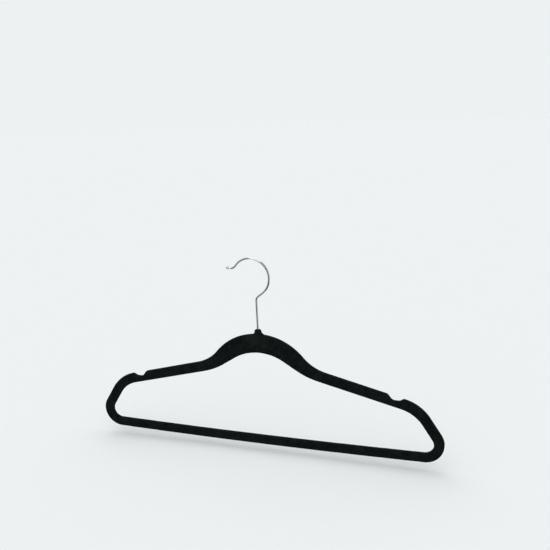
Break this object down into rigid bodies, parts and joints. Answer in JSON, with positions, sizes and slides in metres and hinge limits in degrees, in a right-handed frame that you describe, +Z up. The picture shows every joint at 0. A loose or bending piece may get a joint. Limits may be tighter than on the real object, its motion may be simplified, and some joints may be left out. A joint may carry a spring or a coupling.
{
  "type": "clothes hanger",
  "caption": "Slim flocked clothes hanger with arched crown, sloping notched shoulders, trouser bar and a swivelling ball-tipped wire hook.",
  "frame": {"origin": "on the stem's axis, at the inside of the hook's bowl, where it rests on a rail", "axes": "+X along the trouser bar, towards the side the hook's back bulges to; +Y through the thickness, from the front face to the back; +Z up along the hook's stem"},
  "size_m": [0.4454, 0.0092, 0.2417],
  "materials": {
    "moulded_abs": "moulded, lightly textured",
    "velvet_flock": "short dense nylon pile",
    "plated_wire": "bright plated drawn wire",
    "plated_ball": "bright plated",
    "collar_steel": "turned, uncoated"
  },
  "bodies": {
    "hook": {"hook_wire": "plated_wire", "hook_tip_ball": "plated_ball", "stem_collar": "collar_steel"},
    "hanger": {"frame_core": "moulded_abs", "flock_coat": "velvet_flock"}
  },
  "joints": [
    {"name": "hook_swivel", "type": "hinge", "parent": "hook", "child": "hanger", "pos_m": [0, 0, -0.09098], "axis": [0, 0, 1], "continuous": true}
  ]
}
